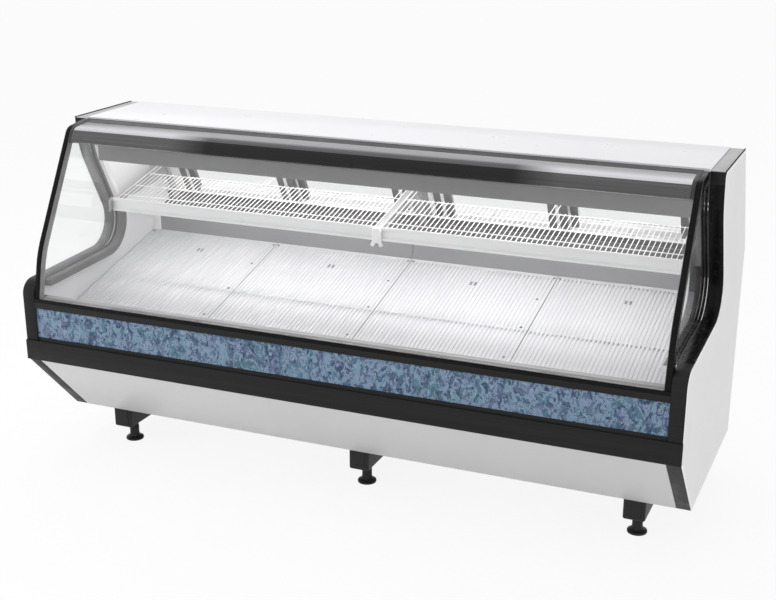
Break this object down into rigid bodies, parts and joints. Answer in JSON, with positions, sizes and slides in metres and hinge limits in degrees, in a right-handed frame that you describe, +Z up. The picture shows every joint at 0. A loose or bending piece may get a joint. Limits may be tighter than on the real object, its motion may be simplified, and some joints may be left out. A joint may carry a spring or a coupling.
{
  "type": "deli display case",
  "caption": "Refrigerated deli display case with a curved lift-up front glass, sloping decks, wire shelves, rear sliding doors and a marbled front panel.",
  "frame": {"origin": "on the floor under the middle of the case", "axes": "+X along the case to the customer's right, +Y from the customer side to the server side, +Z up"},
  "size_m": [2.5, 1.02, 1.316],
  "materials": {
    "white_enamel": "smooth white stoved enamel",
    "light_grey_enamel": "satin light grey enamel",
    "black_moulding": "satin black moulding",
    "black_steel": "black powder coat",
    "foot_black": "black moulded foot on a steel stem",
    "galvanised": "galvanised sheet",
    "blue_laminate": "blue mottled marble laminate",
    "dark_profile": "dark anodised look",
    "tank_foam": "foamed tank with a sheet skin",
    "liner_white": "pale grey inner sheet",
    "grey_profile": "grey extruded plastic",
    "clear_glass": "clear float glass",
    "bright_aluminium": "polished anodised extrusion",
    "door_profile": "satin anodised extrusion",
    "canopy_grey": "grey enamel",
    "lamp_white": "frosted tube",
    "deck_sheet": "white enamelled slotted sheet",
    "white_wire": "white plastic-dipped steel wire",
    "coil_fins": "plain aluminium fins",
    "fan_plastic": "moulded fan",
    "compressor_black": "black enamel",
    "control_black": "textured black plastic",
    "switch_grey": "glossy plastic",
    "screw_steel": "zinc-plated steel"
  },
  "bodies": {
    "case": {"base_frame": "black_steel", "bumper_rail": "black_moulding", "canopy_frame": "canopy_grey", "compressor": "compressor_black", "condenser_coil": "coil_fins", "condenser_shroud": "galvanised", "control_panel": "control_black", "decor_panel": "blue_laminate", "door_posts": "liner_white", "door_tracks": "door_profile", "duct_panels": "liner_white", "end_glasses": "clear_glass", "end_panel_left": "black_moulding", "end_panel_right": "black_moulding", "end_skins": "light_grey_enamel", "evaporator_coil": "coil_fins", "evaporator_shroud": "galvanised", "floor_pan": "galvanised", "glass_channels": "grey_profile", "glass_seat": "dark_profile", "hinge_rail": "bright_aluminium", "kick_panel": "light_grey_enamel", "lamp_tubes": "lamp_white", "leg_rails": "black_steel", "panel_screws": "screw_steel", "rear_grille": "galvanised", "shelf_brackets": "white_wire", "shelf_left": "white_wire", "shelf_right": "white_wire", "tank_body": "tank_foam", "tank_liner": "liner_white", "top_panel": "white_enamel", "valance": "grey_profile"},
    "front_glass": {"front_glass": "clear_glass", "glass_nose": "bright_aluminium", "glass_trims": "dark_profile"},
    "door_1": {"door_frame_1": "door_profile", "door_glass_1": "clear_glass"},
    "door_2": {"door_frame_2": "door_profile", "door_glass_2": "clear_glass"},
    "door_3": {"door_frame_3": "door_profile", "door_glass_3": "clear_glass"},
    "door_4": {"door_frame_4": "door_profile", "door_glass_4": "clear_glass"},
    "foot_front_left": {"foot_front_left": "foot_black"},
    "foot_front_middle": {"foot_front_middle": "foot_black"},
    "foot_front_right": {"foot_front_right": "foot_black"},
    "foot_rear_left": {"foot_rear_left": "foot_black"},
    "foot_rear_middle": {"foot_rear_middle": "foot_black"},
    "foot_rear_right": {"foot_rear_right": "foot_black"},
    "evaporator_fan_left": {"evaporator_fan_left": "fan_plastic"},
    "evaporator_fan_right": {"evaporator_fan_right": "fan_plastic"},
    "condenser_fan": {"condenser_fan": "fan_plastic"},
    "light_switch": {"light_switch": "switch_grey"},
    "button_up": {"button_up": "switch_grey"},
    "button_down": {"button_down": "switch_grey"},
    "deck_1": {"deck_1": "deck_sheet"},
    "deck_2": {"deck_2": "deck_sheet"},
    "deck_3": {"deck_3": "deck_sheet"},
    "deck_4": {"deck_4": "deck_sheet"}
  },
  "joints": [
    {"name": "front_glass_lift", "type": "hinge", "parent": "case", "child": "front_glass", "pos_m": [0, -0.106, 1.303], "axis": [-1, 0, 0], "range_deg": [0, 65]},
    {"name": "door_1_slide", "type": "slide", "parent": "case", "child": "door_1", "axis": [1, 0, 0], "range_m": [0, 0.5]},
    {"name": "door_2_slide", "type": "slide", "parent": "case", "child": "door_2", "axis": [-1, 0, 0], "range_m": [0, 0.5]},
    {"name": "door_3_slide", "type": "slide", "parent": "case", "child": "door_3", "axis": [1, 0, 0], "range_m": [0, 0.5]},
    {"name": "door_4_slide", "type": "slide", "parent": "case", "child": "door_4", "axis": [-1, 0, 0], "range_m": [0, 0.5]},
    {"name": "foot_front_left_screw", "type": "slide", "parent": "case", "child": "foot_front_left", "axis": [0, 0, -1], "range_m": [0, 0.025]},
    {"name": "foot_front_middle_screw", "type": "slide", "parent": "case", "child": "foot_front_middle", "axis": [0, 0, -1], "range_m": [0, 0.025]},
    {"name": "foot_front_right_screw", "type": "slide", "parent": "case", "child": "foot_front_right", "axis": [0, 0, -1], "range_m": [0, 0.025]},
    {"name": "foot_rear_left_screw", "type": "slide", "parent": "case", "child": "foot_rear_left", "axis": [0, 0, -1], "range_m": [0, 0.025]},
    {"name": "foot_rear_middle_screw", "type": "slide", "parent": "case", "child": "foot_rear_middle", "axis": [0, 0, -1], "range_m": [0, 0.025]},
    {"name": "foot_rear_right_screw", "type": "slide", "parent": "case", "child": "foot_rear_right", "axis": [0, 0, -1], "range_m": [0, 0.025]},
    {"name": "evaporator_fan_left_spin", "type": "hinge", "parent": "case", "child": "evaporator_fan_left", "pos_m": [-0.56, 0.311, 0.6255], "axis": [0, 1, 0], "continuous": true},
    {"name": "evaporator_fan_right_spin", "type": "hinge", "parent": "case", "child": "evaporator_fan_right", "pos_m": [0.56, 0.311, 0.6255], "axis": [0, 1, 0], "continuous": true},
    {"name": "condenser_fan_spin", "type": "hinge", "parent": "case", "child": "condenser_fan", "pos_m": [0.35, 0.407, 0.316], "axis": [0, 1, 0], "continuous": true},
    {"name": "light_switch_rock", "type": "hinge", "parent": "case", "child": "light_switch", "pos_m": [1, 0.497, 0.35], "axis": [-1, 0, 0], "range_deg": [0, 20]},
    {"name": "button_up_press", "type": "slide", "parent": "case", "child": "button_up", "axis": [0, -1, 0], "range_m": [0, 0.0015], "stiffness_N_per_m": 200},
    {"name": "button_down_press", "type": "slide", "parent": "case", "child": "button_down", "axis": [0, -1, 0], "range_m": [0, 0.0015], "stiffness_N_per_m": 200},
    {"name": "deck_1_lift", "type": "slide", "parent": "case", "child": "deck_1", "axis": [0, 0, 1], "range_m": [0, 0.06]},
    {"name": "deck_2_lift", "type": "slide", "parent": "case", "child": "deck_2", "axis": [0, 0, 1], "range_m": [0, 0.06]},
    {"name": "deck_3_lift", "type": "slide", "parent": "case", "child": "deck_3", "axis": [0, 0, 1], "range_m": [0, 0.06]},
    {"name": "deck_4_lift", "type": "slide", "parent": "case", "child": "deck_4", "axis": [0, 0, 1], "range_m": [0, 0.06]}
  ]
}
